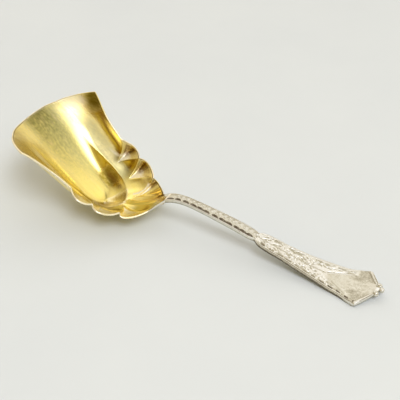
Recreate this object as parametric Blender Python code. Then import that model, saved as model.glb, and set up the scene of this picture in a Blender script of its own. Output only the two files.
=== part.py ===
"""Cracker scoop: a gilt shell-fluted bowl on a struck silver handle.

The scoop lies as it rests on a table: +X runs to the tip of the handle, -X to
the mouth of the bowl, +Z is up, and the table is z = 0.  Lengths below are in
millimetres and angles in degrees; the meshes are written in metres.
"""
import math

import bmesh
import bpy
import numpy as np

# ------------------------------------------------------------ driving sizes
MM = 0.001
X_CENTRE = 11.05          # puts the middle of the overall length at x = 0
BOWL_TILT = 37.0          # the bowl's own floor plane against the table
BOWL_X = -36.0            # origin of the bowl's own frame
BOWL_Z = 9.72
SHEET = 1.1               # thickness of the raised sheet
CLEAR = 0.35              # soldering gap between neighbouring pieces

# The bowl is drawn by three rails, given as (station, along, across, up) in
# the bowl's own frame: "along" runs to the mouth, "up" out of the bowl.
# Station 0 is the mouth corner, 1 to 3.85 the three lobes, 4.4 the centre line.
RIM = [(0.0, 75.1, 36.8, -5.9), (0.33, 64.6, 32.3, -7.35),
       (0.67, 53.3, 28.75, -8.15), (1.0, 42.6, 26.9, -9.0),
       (1.5, 35.0, 26.1, -8.5), (2.0, 27.4, 25.2, -7.9),
       (2.5, 20.3, 22.0, -6.2), (3.0, 13.2, 18.7, -4.5),
       (3.43, 7.7, 13.6, -0.8), (3.85, 2.2, 8.4, 3.0)]
CREST = [(0.0, 88.4, 17.5, -21.6), (0.33, 73.0, 18.0, -21.4),
         (0.67, 57.0, 17.8, -21.2), (1.0, 41.8, 16.7, -20.5),
         (1.5, 34.2, 15.8, -20.1), (2.0, 28.4, 14.7, -19.8),
         (2.5, 23.2, 12.6, -19.3), (3.0, 19.0, 9.0, -18.4),
         (3.43, 16.9, 4.6, -17.4), (3.85, 16.0, 2.0, -16.8),
         (4.0, 15.8, 1.4, -16.7)]
SPINE = [(0.0, 91.3, -24.3), (0.33, 75.5, -25.7), (0.67, 59.0, -27.1),
         (1.0, 44.0, -28.1), (1.5, 34.5, -28.4), (2.0, 28.8, -28.4),
         (2.5, 26.0, -28.3), (3.0, 24.8, -28.2), (3.43, 24.2, -28.1),
         (4.0, 24.0, -28.1)]
SEAM = (0.0, 3.3, 12.75)      # corner of the heel tab at the soldered seam
LOBE_END, SEAM_STATION, AXIS_STATION = 3.85, 4.0, 4.4
# station where a lobe starts and ends, station and height of its apex between
# crest and rim, and how far its rim swells out
LOBES = [(1.0, 2.0, 1.48, 0.33, (0.0, 4.1, -0.4)),
         (2.0, 3.0, 2.45, 0.25, (0.2, 4.6, -0.9)),
         (3.0, 3.85, 3.62, 0.24, (-0.3, 3.8, -2.6))]
LOBE_FLARE = 1.35
CREASE = (0.32, 0.85)         # where the crease along the crest comes in
# how each section rises: station, power of the rise from floor to crest, and
# slopes in degrees just over the crest and at the rim
RISE = [(0.0, 2.85, 24, 54), (0.33, 2.05, 28, 56), (0.67, 2.75, 27, 56),
        (1.0, 3.70, 21, 57), (1.5, 4.40, 19, 63), (2.0, 3.80, 22, 65),
        (2.5, 2.90, 27, 66), (3.0, 2.30, 31, 67), (3.43, 2.0, 34, 68),
        (3.85, 2.0, 35, 72), (4.4, 2.0, 36, 72)]
LIP_SWELL, LIP_FLARE = 0.9, 0.8
# how far the wall stands out where it turns up to the rim: station, millimetres
WALL = [(0.0, 0.0), (0.33, 1.0), (0.67, 1.8), (1.0, 1.8), (1.25, 0.6), (2.0, 0.3),
        (3.0, 0.3), (3.85, 0.2), (4.0, 0.0), (4.4, 0.0)]
WALL_BEND = 0.72

# handle: stations along x with the half width, the top, the thickness at the
# edge and how far the rounded back stands below the edges
STEM_W = [(-28.3, 3.3), (-25, 3.25), (-21, 3.1), (-15, 3.0), (-9, 3.1),
          (0, 3.4), (10, 3.7), (20, 3.95), (24, 3.85), (27.8, 3.0)]
BLADE_W = [(27.8, 3.0), (28.6, 3.6), (30, 4.55), (32, 5.25), (35, 5.65),
           (38, 5.9), (41, 5.95), (44, 6.0), (50, 6.6), (57, 7.4), (64, 8.35),
           (71, 9.55), (77, 10.5), (80.5, 11.15), (83.5, 12.15), (86.6, 13.2),
           (88.2, 13.6)]
END_W = [(88.2, 13.6), (88.8, 12.9), (89.4, 12.1), (90.4, 10.7), (92.0, 8.3),
         (93.8, 5.6), (95.2, 3.9), (96.0, 2.4), (96.7, 1.15), (98.95, 1.0)]
TOP_Z = [(-28.3, 20.2), (-24.5, 21.5), (-20.5, 22.1), (-16.5, 22.15),
         (-12, 21.7), (-6, 20.8), (0.4, 19.65), (10, 17.75), (20, 15.4),
         (30, 12.55), (40, 9.95), (50, 7.4), (60, 5.2), (70, 3.4), (77, 2.3),
         (82, 1.95), (88, 2.0), (92, 2.5), (96, 3.5), (99, 4.4)]
THICK = [(-28.3, 2.6), (-25, 2.5), (-20, 2.3), (-15, 2.2), (0, 2.1), (20, 2.1),
         (30, 2.1), (50, 2.0), (80, 1.95), (99, 1.8)]
BELLY = [(-28.3, 0.6), (-20, 1.0), (0, 1.0), (20, 0.7), (32, 0.2), (40, 0.0), (99, 0.0)]
FLAT_FROM, FLAT_TO = 79.0, 88.2     # the back of the handle lies flat here
TONGUE_TIP, TONGUE_W = -49.0, 1.9   # tongue soldered under the heel
ROLL_PATH = [(90.7, 13.1), (91.8, 11.6), (93.4, 9.2), (95.0, 6.85), (96.3, 5.0)]
ROLL_R = (1.35, 1.2)
VOLUTE_AT, VOLUTE_R = (98.7, 3.1, 3.7), 1.7
TIP_AT, TIP_R = (100.9, 0.0, 4.5), 1.5


# ---------------------------------------------------------------- functions
def spline(points, column=1):
    """Natural cubic curve through the points, as a function of column 0."""
    xs = np.array([p[0] for p in points], float)
    ys = np.array([p[column] for p in points], float)
    n, h = len(xs), np.diff(xs)
    a, r = np.zeros((n, n)), np.zeros(n)
    a[0, 0] = a[-1, -1] = 1.0
    for i in range(1, n - 1):
        a[i, i - 1], a[i, i], a[i, i + 1] = h[i - 1], 2 * (h[i - 1] + h[i]), h[i]
        r[i] = 6 * ((ys[i + 1] - ys[i]) / h[i] - (ys[i] - ys[i - 1]) / h[i - 1])
    m = np.linalg.solve(a, r)

    def curve(x):
        x = np.clip(np.asarray(x, float), xs[0], xs[-1])
        i = np.clip(np.searchsorted(xs, x, side="right") - 1, 0, n - 2)
        d, e, w = x - xs[i], xs[i + 1] - x, h[i]
        return ((m[i] * e ** 3 + m[i + 1] * d ** 3) / (6 * w)
                + (ys[i] / w - m[i] * w / 6) * e
                + (ys[i + 1] / w - m[i + 1] * w / 6) * d)
    return curve


def ramp(x, lo, hi):
    t = np.clip((x - lo) / (hi - lo), 0.0, 1.0)
    return t * t * t * (t * (6 * t - 15) + 10)


rim_curve = [spline(RIM, c) for c in (1, 2, 3)]
crest_curve = [spline(CREST, c) for c in (1, 2, 3)]
spine_curve = [spline(SPINE, c) for c in (1, 2)]
wall_curve = spline(WALL)
rise_curve = [spline(RISE, c) for c in (1, 2, 3)]


def rails(s):
    """Floor, crest and rim point of the section at station s."""
    sc = np.minimum(s, SEAM_STATION)
    close = 1.0 - np.clip((s - SEAM_STATION) / (AXIS_STATION - SEAM_STATION), 0, 1)
    rim = np.stack([c(sc) for c in rim_curve], -1)
    tab = np.clip((sc - LOBE_END) / (SEAM_STATION - LOBE_END), 0, 1)[..., None]
    rim = rim * (1 - tab) + tab * np.array(SEAM)
    crest = np.stack([c(sc) for c in crest_curve], -1)
    rim[..., 1] *= close
    crest[..., 1] *= close
    floor = np.stack([spine_curve[0](sc), 0 * sc, spine_curve[1](sc)], -1)
    return floor, crest, rim


def round_section(s, q):
    """One smooth arc floor - crest - rim; q is 0, 1 and 2 at the rails."""
    rail = rails(s)
    out = np.zeros(s.shape + (3,))
    for i in range(3):
        f0, f1, f2 = (r[..., i] for r in rail)
        bend = f2 - 2 * f1 + f0
        if i == 1:
            m0, m1 = 0 * f0, 1.2 * bend
        else:
            m1 = (6 * bend - 3 * (f1 - f0)) / 4.5
            m0 = (6 * (f1 - f0) - m1) / 2
        d, e = q, 1 - q
        inner = (m0 * e ** 3 + m1 * d ** 3) / 6 + (f0 - m0 / 6) * e + (f1 - m1 / 6) * d
        d, e = q - 1, 2 - q
        outer = (m1 * e ** 3 + m1 * d ** 3) / 6 + (f1 - m1 / 6) * e + (f2 - m1 / 6) * d
        out[..., i] = np.where(q <= 1, inner, outer)
    return out


def creased_section(s, q):
    """Straight runs floor - crest - rim, which meet in a crease at the crest."""
    floor, crest, rim = rails(s)
    t, u = np.clip(q, 0, 1)[..., None], np.clip(q - 1, 0, 1)[..., None]
    return np.where(q[..., None] <= 1, floor + (crest - floor) * t, crest + (rim - crest) * u)


def hermite(t, f0, f1, m0, m1):
    return (f0 * (1 + 2 * t) * (1 - t) ** 2 + f1 * t * t * (3 - 2 * t)
            + m0 * t * (1 - t) ** 2 - m1 * t * t * (1 - t))


def plan_rate(section, s, q):
    """How far a section moves in plan, per unit of q: along and across."""
    e = 1e-3
    lo, hi = np.maximum(q - e, 0), np.minimum(q + e, 2)
    return ((section(s, hi) - section(s, lo)) / (hi - lo)[..., None])[..., :2]


def section_height(s, q, m):
    """Rise of the sheet along a section, from floor to crest to rim."""
    floor, crest, rim = rails(s)
    power = rise_curve[0](s)
    over, top = (np.tan(np.radians(c(s))) for c in rise_curve[1:])
    edge = plan_rate(round_section, s, 2 * np.ones_like(s))
    deep = crest[..., 2] - floor[..., 2]
    wide = np.linalg.norm((rim - crest)[..., :2], axis=-1)
    m_out = (1 - m) * power * deep + m * over * wide
    m_rim = (1 - m) * (top * edge[..., 1] + 0.05 * edge[..., 0]) + m * top * wide
    return np.where(q <= 1, floor[..., 2] + deep * np.clip(q, 0, 1) ** power,
                    hermite(np.clip(q - 1, 0, 1), crest[..., 2], rim[..., 2], m_out, m_rim))


def stand_out(u):
    """Swell of the wall between crest (0) and rim (1), turning up near the rim."""
    k, r = WALL_BEND, 0.14
    d = u - k
    turn_up = np.where(d > r, d, np.where(d > -r, (d + r) ** 2 / (4 * r), 0))
    return (u / k) ** 1.6 - (1 / k) ** 1.6 / (1 - k) * turn_up


def bowl_surface(s, q):
    """Inner face of the bowl and the direction out of its back."""
    eps = 2e-3
    s0, s1 = np.maximum(s - eps, 0), np.minimum(s + eps, AXIS_STATION)
    q0, q1 = np.maximum(q - eps, 0), np.minimum(q + eps, 2)
    ds = round_section(s1, q) - round_section(s0, q)
    dq = round_section(s, q1) - round_section(s, q0)
    out = np.cross(ds, dq)
    out /= np.maximum(np.linalg.norm(out, axis=-1, keepdims=True), 1e-12)
    out *= -np.sign(out[..., 2:3] + 1e-12)

    m = ramp(s, CREASE[0], CREASE[1])
    p = (1 - m)[..., None] * round_section(s, q) + m[..., None] * creased_section(s, q)
    p[..., 2] = section_height(s, q, m)
    tau = np.clip(q - 1, 0, 1)
    p[..., 1] += wall_curve(s) * stand_out(tau)
    for first, last, apex, low, bulge in LOBES:
        x = np.clip((tau - low) / (1 - low), 0, 1)
        flare = x ** LOBE_FLARE
        mid = apex + flare * ((first + last) / 2 - apex)
        fan = np.maximum(flare * (last - first) / 2, 1e-6)
        w = np.clip(1 - ((s - mid) / fan) ** 2, 0, 1) ** 0.72 * (x > 0)
        p = p + (x * w)[..., None] * np.array(bulge)
    front = 1 - ramp(s, 0, 0.7)
    lip = np.clip((q - 0.2) / 1.8, 0, 1)
    p[..., 0] += LIP_SWELL * np.sin(np.pi * lip) ** 2 * front
    lip = np.clip((q - 1.2) / 0.8, 0, 1)
    p[..., 0] += 3.6 * lip * (1 - lip) ** 0.7 * front
    p[..., 2] += 1.2 * lip * (1 - lip) ** 0.7 * front
    p[..., 2] -= LIP_FLARE * (np.clip(1 - s / 0.22, 0, 1) ** 2 - 0.5 * front)
    return p, out


def to_world(p):
    t = math.radians(BOWL_TILT)
    a, b, n = p[..., 0], p[..., 1], p[..., 2]
    return np.stack([BOWL_X + X_CENTRE - a * math.cos(t) + n * math.sin(t), b,
                     BOWL_Z + a * math.sin(t) + n * math.cos(t)], -1)


def material(name, colour, rough):
    mat = bpy.data.materials.new(name)
    mat.use_nodes = True
    bsdf = mat.node_tree.nodes["Principled BSDF"]
    bsdf.inputs["Base Color"].default_value = (*colour, 1.0)
    bsdf.inputs["Metallic"].default_value = 1.0
    bsdf.inputs["Roughness"].default_value = rough
    return mat


def add_object(name, verts, faces, mat, parent, sharp=35.0):
    """A closed body from points in millimetres."""
    bm = bmesh.new()
    vs = [bm.verts.new([float(c) * MM for c in v]) for v in verts]
    for f in faces:
        ring = []
        for i in f:
            if vs[i] not in ring:
                ring.append(vs[i])
        if len(ring) > 2:
            bm.faces.new(ring)
    bmesh.ops.recalc_face_normals(bm, faces=bm.faces)
    if bm.calc_volume(signed=True) < 0:
        bmesh.ops.reverse_faces(bm, faces=bm.faces)
    mesh = bpy.data.meshes.new(name)
    bm.to_mesh(mesh)
    bm.free()
    mesh.shade_smooth()
    mesh.set_sharp_from_angle(angle=math.radians(sharp))
    mesh.materials.append(mat)
    obj = bpy.data.objects.new(name, mesh)
    bpy.context.scene.collection.objects.link(obj)
    obj.parent = parent
    return obj


def make_bowl(mat, parent):
    stations = np.concatenate([
        np.linspace(0, 1, 11)[:-1], np.linspace(1, 2, 9)[:-1],
        np.linspace(2, 3, 9)[:-1], np.linspace(3, LOBE_END, 9)[:-1],
        np.array([LOBE_END, 3.93, SEAM_STATION, 4.2, AXIS_STATION])])
    across = np.array([0.1, 0.32, 0.54, 0.72, 0.87, 1.0, 1.13, 1.27, 1.42,
                       1.57, 1.72, 1.87, 2.0])
    s, q = np.meshgrid(stations, across, indexing="ij")
    inner, out = bowl_surface(s, q)
    skins = [to_world(inner), to_world(inner + SHEET * out)]
    ns, nq = s.shape
    verts, index = [], {}
    for k, skin in enumerate(skins):
        for side in (1, -1):
            for i in range(ns):
                for j in range(nq):
                    if i == ns - 1 and side < 0:
                        index[k, side, i, j] = index[k, 1, i, j]
                        continue
                    index[k, side, i, j] = len(verts)
                    v = skin[i, j]
                    verts.append((v[0], 0.0 if i == ns - 1 else side * v[1], v[2]))
    faces = []
    for k in (0, 1):
        for i in range(ns - 1):
            for side in (1, -1):
                for j in range(nq - 1):
                    f = [index[k, side, i, j], index[k, side, i + 1, j],
                         index[k, side, i + 1, j + 1], index[k, side, i, j + 1]]
                    faces.append(f if (side > 0) == (k == 0) else f[::-1])
            f = [index[k, -1, i, 0], index[k, -1, i + 1, 0],
                 index[k, 1, i + 1, 0], index[k, 1, i, 0]]
            faces.append(f if k == 0 else f[::-1])
    for i in range(ns - 1):
        for side in (1, -1):
            faces.append([index[0, side, i, nq - 1], index[0, side, i + 1, nq - 1],
                          index[1, side, i + 1, nq - 1], index[1, side, i, nq - 1]])
    for side in (1, -1):
        for j in range(nq - 1):
            faces.append([index[0, side, 0, j], index[0, side, 0, j + 1],
                          index[1, side, 0, j + 1], index[1, side, 0, j]])
    faces.append([index[0, -1, 0, 0], index[0, 1, 0, 0],
                  index[1, 1, 0, 0], index[1, -1, 0, 0]])
    return add_object("bowl", verts, faces, mat, parent)


def heel_underside():
    """Lowest back face of the bowl over a point (x, y) near the heel."""
    s, q = np.meshgrid(np.linspace(3.6, AXIS_STATION, 50), np.linspace(1.02, 2, 160),
                       indexing="ij")
    inner, out = bowl_surface(s, q)
    pts = to_world(inner + SHEET * out).reshape(-1, 3)

    def lowest(x, y):
        near = np.hypot(pts[:, 0] - x, pts[:, 1] - abs(y)) < 0.35
        return float(pts[near, 2].min())
    return lowest


def handle_ring(x, w, top, bottom, lean=0.0, belly=0.0):
    """Section of the handle: a sunk field between two raised borders, and a
    rounded back."""
    c = min(0.35, 0.2 * w)
    border = min(0.8, 0.3 * w)
    sink = min(0.22, 0.25 * (top - bottom))
    half = [(0.0, top - sink), (w - border - c - 0.25 * c, top - sink),
            (w - border - c + 0.25 * c, top), (w - c, top), (w, top - c),
            (w, bottom + c), (w - c, bottom), (0.55 * w, bottom - 0.7 * belly),
            (0.0, bottom - belly)]
    ring = [(x + lean * (z > (top + bottom) / 2), y, z) for y, z in half]
    ring += [(px, -py, pz) for px, py, pz in reversed(ring[1:-1])]
    return ring


def make_handle(mat, parent):
    stem_w, blade_w, end_w = spline(STEM_W), spline(BLADE_W), spline(END_W)
    top_z, thick = spline(TOP_Z), spline(THICK)

    def half_width(x):
        curve = stem_w if x < 27.8 else blade_w if x < 88.2 else end_w
        return float(curve(x))

    def bottom_z(x):
        z = float(top_z(x) - thick(x))
        return 0.0 if FLAT_FROM <= x <= FLAT_TO else max(0.0, z)

    def belly(x):
        return float(np.interp(x, [p[0] for p in BELLY], [p[1] for p in BELLY]))

    rings = []
    under = heel_underside()
    # tongue under the heel, tapering to its tip
    for x in np.linspace(TONGUE_TIP, -29.4, 9):
        f = (x - TONGUE_TIP) / (-29.4 - TONGUE_TIP)
        w = 0.9 + (TONGUE_W - 0.9) * f
        top = min(under(x + X_CENTRE, 0), under(x + X_CENTRE, w)) - CLEAR
        rings.append(handle_ring(x, w, top, top - (0.7 + 1.4 * f)))
    seat = rings[-1][0][2] + 0.25
    root_bottom = float(top_z(-27.0) - thick(-27.0))
    rings.append(handle_ring(-27.2, TONGUE_W + 0.6, seat, root_bottom - 0.3,
                             belly=belly(-27.2)))
    # full section from the seam to the tip
    rings.append(handle_ring(-27.15, half_width(-27.15), float(top_z(-27.7)),
                             root_bottom, lean=-0.55, belly=belly(-27.2)))
    xs = np.concatenate([np.linspace(-26, -10, 9), np.linspace(-7, 24, 11),
                         [26, 27.2, 27.8, 28.3, 29, 30, 31.5, 33.5, 36],
                         np.linspace(39, 77, 13), [FLAT_FROM, 81, 83.5, 86, FLAT_TO],
                         [88.8, 89.4, 90.4, 92, 93.8, 95.2, 96, 96.7, 97.8, 98.95]])
    for x in xs:
        x = float(x)
        rings.append(handle_ring(x, half_width(x), float(top_z(x)), bottom_z(x),
                                 belly=belly(x)))
    n = len(rings[0])
    verts = [(x + X_CENTRE, y, z) for ring in rings for x, y, z in ring]
    faces = []
    for i in range(len(rings) - 1):
        for j in range(n):
            k = (j + 1) % n
            faces.append([i * n + j, i * n + k, (i + 1) * n + k, (i + 1) * n + j])
    faces.append([j for j in range(n)][::-1])
    faces.append([(len(rings) - 1) * n + j for j in range(n)])
    return add_object("handle", verts, faces, mat, parent)


def make_roll(name, side, mat, parent):
    """Round bar along one half of the handle's end, with domed ends."""
    top_z = spline(TOP_Z)
    steps = np.arange(len(ROLL_PATH), dtype=float)
    px = spline([(i, p[0]) for i, p in zip(steps, ROLL_PATH)])
    py = spline([(i, p[1]) for i, p in zip(steps, ROLL_PATH)])
    centre = []
    for f in np.linspace(0, steps[-1], 15):
        x = float(px(f))
        centre.append((x, side * float(py(f)), float(top_z(x)) - 0.7, f / steps[-1]))
    c = np.array(centre)
    tangent = np.gradient(c[:, :3], axis=0)
    tangent /= np.linalg.norm(tangent, axis=1, keepdims=True)
    rings = []
    n = 14

    def ring(p, t, r):
        u = np.cross((0, 0, 1), t)
        u /= np.linalg.norm(u)
        v = np.cross(t, u)
        return [p + r * (math.cos(a) * u + math.sin(a) * v)
                for a in np.linspace(0, 2 * math.pi, n, endpoint=False)]

    def radius(f):
        return ROLL_R[0] + (ROLL_R[1] - ROLL_R[0]) * f

    for a in (70, 45, 20):
        r = radius(0)
        rings.append(ring(c[0, :3] - tangent[0] * r * 0.8 * math.sin(math.radians(a)),
                          tangent[0], r * math.cos(math.radians(a))))
    for p, t in zip(c, tangent):
        rings.append(ring(p[:3], t, radius(p[3])))
    for a in (20, 45, 70):
        r = radius(1)
        rings.append(ring(c[-1, :3] + tangent[-1] * r * 0.6 * math.sin(math.radians(a)),
                          tangent[-1], r * math.cos(math.radians(a))))
    verts = [(p[0] + X_CENTRE, p[1], p[2]) for r in rings for p in r]
    faces = []
    for i in range(len(rings) - 1):
        for j in range(n):
            k = (j + 1) % n
            faces.append([i * n + j, i * n + k, (i + 1) * n + k, (i + 1) * n + j])
    faces.append(list(range(n))[::-1])
    faces.append([(len(rings) - 1) * n + j for j in range(n)])
    return add_object(name, verts, faces, mat, parent)


def make_ball(name, at, radius, mat, parent):
    bm = bmesh.new()
    bmesh.ops.create_uvsphere(bm, u_segments=16, v_segments=10, radius=radius * MM)
    mesh = bpy.data.meshes.new(name)
    bm.to_mesh(mesh)
    bm.free()
    mesh.shade_smooth()
    mesh.materials.append(mat)
    obj = bpy.data.objects.new(name, mesh)
    bpy.context.scene.collection.objects.link(obj)
    obj.location = [(at[0] + X_CENTRE) * MM, at[1] * MM, at[2] * MM]
    obj.parent = parent
    return obj


def main():
    for obj in list(bpy.data.objects):
        bpy.data.objects.remove(obj, do_unlink=True)
    scoop = bpy.data.objects.new("scoop", None)
    bpy.context.scene.collection.objects.link(scoop)
    gold = (0.86, 0.62, 0.22)
    silver = (0.78, 0.76, 0.70)
    make_bowl(material("gilt", gold, 0.18), scoop)
    make_handle(material("struck_silver", silver, 0.32), scoop)
    for name, side in (("end_roll_left", 1), ("end_roll_right", -1)):
        make_roll(name, side, material(name, silver, 0.28), scoop)
    for name, side in (("volute_left", 1), ("volute_right", -1)):
        make_ball(name, (VOLUTE_AT[0], side * VOLUTE_AT[1], VOLUTE_AT[2]), VOLUTE_R,
                  material(name, silver, 0.25), scoop)
    make_ball("tip_bead", TIP_AT, TIP_R, material("tip_bead", silver, 0.22), scoop)


main()
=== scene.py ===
"""Looks of the cracker scoop: a gilt shell-fluted bowl on a struck silver handle.

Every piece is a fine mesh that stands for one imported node.  Lengths in the code
are millimetres unless a name says otherwise; the meshes are written in metres.
"""
import math

import bpy
import numpy as np
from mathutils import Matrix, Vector


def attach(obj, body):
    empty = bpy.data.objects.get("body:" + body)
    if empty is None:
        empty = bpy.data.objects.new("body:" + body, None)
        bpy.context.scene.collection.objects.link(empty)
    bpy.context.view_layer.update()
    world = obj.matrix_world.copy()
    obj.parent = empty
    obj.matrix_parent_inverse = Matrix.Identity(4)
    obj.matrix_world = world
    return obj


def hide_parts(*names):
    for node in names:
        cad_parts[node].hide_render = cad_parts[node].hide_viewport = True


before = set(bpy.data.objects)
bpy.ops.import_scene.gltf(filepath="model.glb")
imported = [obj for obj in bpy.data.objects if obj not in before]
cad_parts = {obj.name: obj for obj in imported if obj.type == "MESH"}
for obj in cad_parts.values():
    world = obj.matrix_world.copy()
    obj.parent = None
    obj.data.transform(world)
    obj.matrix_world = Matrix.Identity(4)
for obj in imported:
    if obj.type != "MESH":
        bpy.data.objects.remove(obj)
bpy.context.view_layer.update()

MM = 0.001

# ---------------------------------------------------------------- bowl sizes
X_CENTRE = 11.05
BOWL_TILT = 37.0
BOWL_X, BOWL_Z = -36.0, 9.72
SHEET = 1.1
RIM = [(0.0, 75.1, 36.8, -5.9), (0.33, 64.6, 32.3, -7.35),
       (0.67, 53.3, 28.75, -8.15), (1.0, 42.6, 26.9, -9.0),
       (1.5, 35.0, 26.1, -8.5), (2.0, 27.4, 25.2, -7.9),
       (2.5, 20.3, 22.0, -6.2), (3.0, 13.2, 18.7, -4.5),
       (3.43, 7.7, 13.6, -0.8), (3.85, 2.2, 8.4, 3.0)]
CREST = [(0.0, 88.4, 17.5, -21.6), (0.33, 73.0, 18.0, -21.4),
         (0.67, 57.0, 17.8, -21.2), (1.0, 41.8, 16.7, -20.5),
         (1.5, 34.2, 15.8, -20.1), (2.0, 28.4, 14.7, -19.8),
         (2.5, 23.2, 12.6, -19.3), (3.0, 19.0, 9.0, -18.4),
         (3.43, 16.9, 4.6, -17.4), (3.85, 16.0, 2.0, -16.8),
         (4.0, 15.8, 1.4, -16.7)]
SPINE = [(0.0, 91.3, -24.3), (0.33, 75.5, -25.7), (0.67, 59.0, -27.1),
         (1.0, 44.0, -28.1), (1.5, 34.5, -28.4), (2.0, 28.8, -28.4),
         (2.5, 26.0, -28.3), (3.0, 24.8, -28.2), (3.43, 24.2, -28.1),
         (4.0, 24.0, -28.1)]
SEAM = (0.0, 3.3, 12.75)
LOBE_END, SEAM_STATION, AXIS_STATION = 3.85, 4.0, 4.4
# station where a lobe starts and ends, station and height of its apex between
# crest and rim, and how far its rim swells out
LOBES = [(1.0, 2.0, 1.48, 0.33, (0.0, 4.1, -0.4)),
         (2.0, 3.0, 2.45, 0.25, (0.2, 4.6, -0.9)),
         (3.0, 3.85, 3.62, 0.24, (-0.3, 3.8, -2.6))]
LOBE_FLARE = 1.35
CREASE = (0.32, 0.85)         # where the crease along the crest comes in
# how each section rises: station, power of the rise from floor to crest, and
# slopes in degrees just over the crest and at the rim
RISE = [(0.0, 2.85, 24, 54), (0.33, 2.05, 28, 56), (0.67, 2.75, 27, 56),
        (1.0, 3.70, 21, 57), (1.5, 4.40, 19, 63), (2.0, 3.80, 22, 65),
        (2.5, 2.90, 27, 66), (3.0, 2.30, 31, 67), (3.43, 2.0, 34, 68),
        (3.85, 2.0, 35, 72), (4.4, 2.0, 36, 72)]
LIP_SWELL, LIP_FLARE = 0.9, 0.8
# how far the wall stands out where it turns up to the rim: station, millimetres
WALL = [(0.0, 0.0), (0.33, 1.0), (0.67, 1.8), (1.0, 1.8), (1.25, 0.6), (2.0, 0.3),
        (3.0, 0.3), (3.85, 0.2), (4.0, 0.0), (4.4, 0.0)]
WALL_BEND = 0.72

# -------------------------------------------------------------- handle sizes
STEM_W = [(-28.3, 3.3), (-25, 3.25), (-21, 3.1), (-15, 3.0), (-9, 3.1),
          (0, 3.4), (10, 3.7), (20, 3.95), (24, 3.85), (27.8, 3.0)]
BLADE_W = [(27.8, 3.0), (28.6, 3.6), (30, 4.55), (32, 5.25), (35, 5.65),
           (38, 5.9), (41, 5.95), (44, 6.0), (50, 6.6), (57, 7.4), (64, 8.35),
           (71, 9.55), (77, 10.5), (80.5, 11.15), (83.5, 12.15), (86.6, 13.2),
           (88.2, 13.6)]
END_W = [(88.2, 13.6), (89.0, 14.0), (89.8, 14.25), (90.6, 14.3), (91.3, 14.0),
         (92.0, 13.3), (93.0, 12.0), (94.4, 9.95), (96.0, 7.55), (97.3, 5.6),
         (98.2, 4.1), (99.0, 2.4), (99.5, 1.0)]
TOP_Z = [(-28.3, 20.2), (-24.5, 21.5), (-20.5, 22.1), (-16.5, 22.15),
         (-12, 21.7), (-6, 20.8), (0.4, 19.65), (10, 17.75), (20, 15.4),
         (30, 12.55), (40, 9.95), (50, 7.4), (60, 5.2), (70, 3.4), (77, 2.3),
         (82, 1.95), (88, 2.0), (92, 2.5), (96, 3.5), (99, 4.4)]
THICK = [(-28.3, 2.6), (-25, 2.5), (-20, 2.3), (-15, 2.2), (0, 2.1), (20, 2.1),
         (30, 2.1), (50, 2.0), (80, 1.95), (99, 1.8)]
BELLY = [(-28.3, 0.6), (-20, 1.0), (0, 1.0), (20, 0.7), (32, 0.2), (40, 0.0), (99, 0.0)]
FLAT_FROM, FLAT_TO = 79.0, 88.2
TONGUE_TIP, TONGUE_W = -49.0, 1.9
ROLL_PATH = [(90.7, 13.1), (91.8, 11.6), (93.4, 9.2), (95.0, 6.85), (96.3, 5.0)]
ROLL_R, ROLL_SINK = (1.25, 1.05), 0.90
VOLUTE_AT, VOLUTE_R = (98.7, 3.1, 3.7), 1.7
TIP_AT, TIP_R = (100.9, 0.0, 4.5), 1.5


# ----------------------------------------------------------------- functions
def spline(points, column=1):
    """Natural cubic curve through the points, as a function of column 0."""
    xs = np.array([p[0] for p in points], float)
    ys = np.array([p[column] for p in points], float)
    n, h = len(xs), np.diff(xs)
    a, r = np.zeros((n, n)), np.zeros(n)
    a[0, 0] = a[-1, -1] = 1.0
    for i in range(1, n - 1):
        a[i, i - 1], a[i, i], a[i, i + 1] = h[i - 1], 2 * (h[i - 1] + h[i]), h[i]
        r[i] = 6 * ((ys[i + 1] - ys[i]) / h[i] - (ys[i] - ys[i - 1]) / h[i - 1])
    m = np.linalg.solve(a, r)

    def curve(x):
        x = np.clip(np.asarray(x, float), xs[0], xs[-1])
        i = np.clip(np.searchsorted(xs, x, side="right") - 1, 0, n - 2)
        d, e, w = x - xs[i], xs[i + 1] - x, h[i]
        return ((m[i] * e ** 3 + m[i + 1] * d ** 3) / (6 * w)
                + (ys[i] / w - m[i] * w / 6) * e
                + (ys[i + 1] / w - m[i + 1] * w / 6) * d)
    return curve


def ramp(x, lo, hi):
    t = np.clip((x - lo) / (hi - lo), 0.0, 1.0)
    return t * t * t * (t * (6 * t - 15) + 10)


rim_curve = [spline(RIM, c) for c in (1, 2, 3)]
crest_curve = [spline(CREST, c) for c in (1, 2, 3)]
spine_curve = [spline(SPINE, c) for c in (1, 2)]
wall_curve = spline(WALL)
rise_curve = [spline(RISE, c) for c in (1, 2, 3)]


def rails(s):
    """Floor, crest and rim point of the section at station s."""
    sc = np.minimum(s, SEAM_STATION)
    close = 1.0 - np.clip((s - SEAM_STATION) / (AXIS_STATION - SEAM_STATION), 0, 1)
    rim = np.stack([c(sc) for c in rim_curve], -1)
    tab = np.clip((sc - LOBE_END) / (SEAM_STATION - LOBE_END), 0, 1)[..., None]
    rim = rim * (1 - tab) + tab * np.array(SEAM)
    crest = np.stack([c(sc) for c in crest_curve], -1)
    rim[..., 1] *= close
    crest[..., 1] *= close
    floor = np.stack([spine_curve[0](sc), 0 * sc, spine_curve[1](sc)], -1)
    return floor, crest, rim


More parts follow.
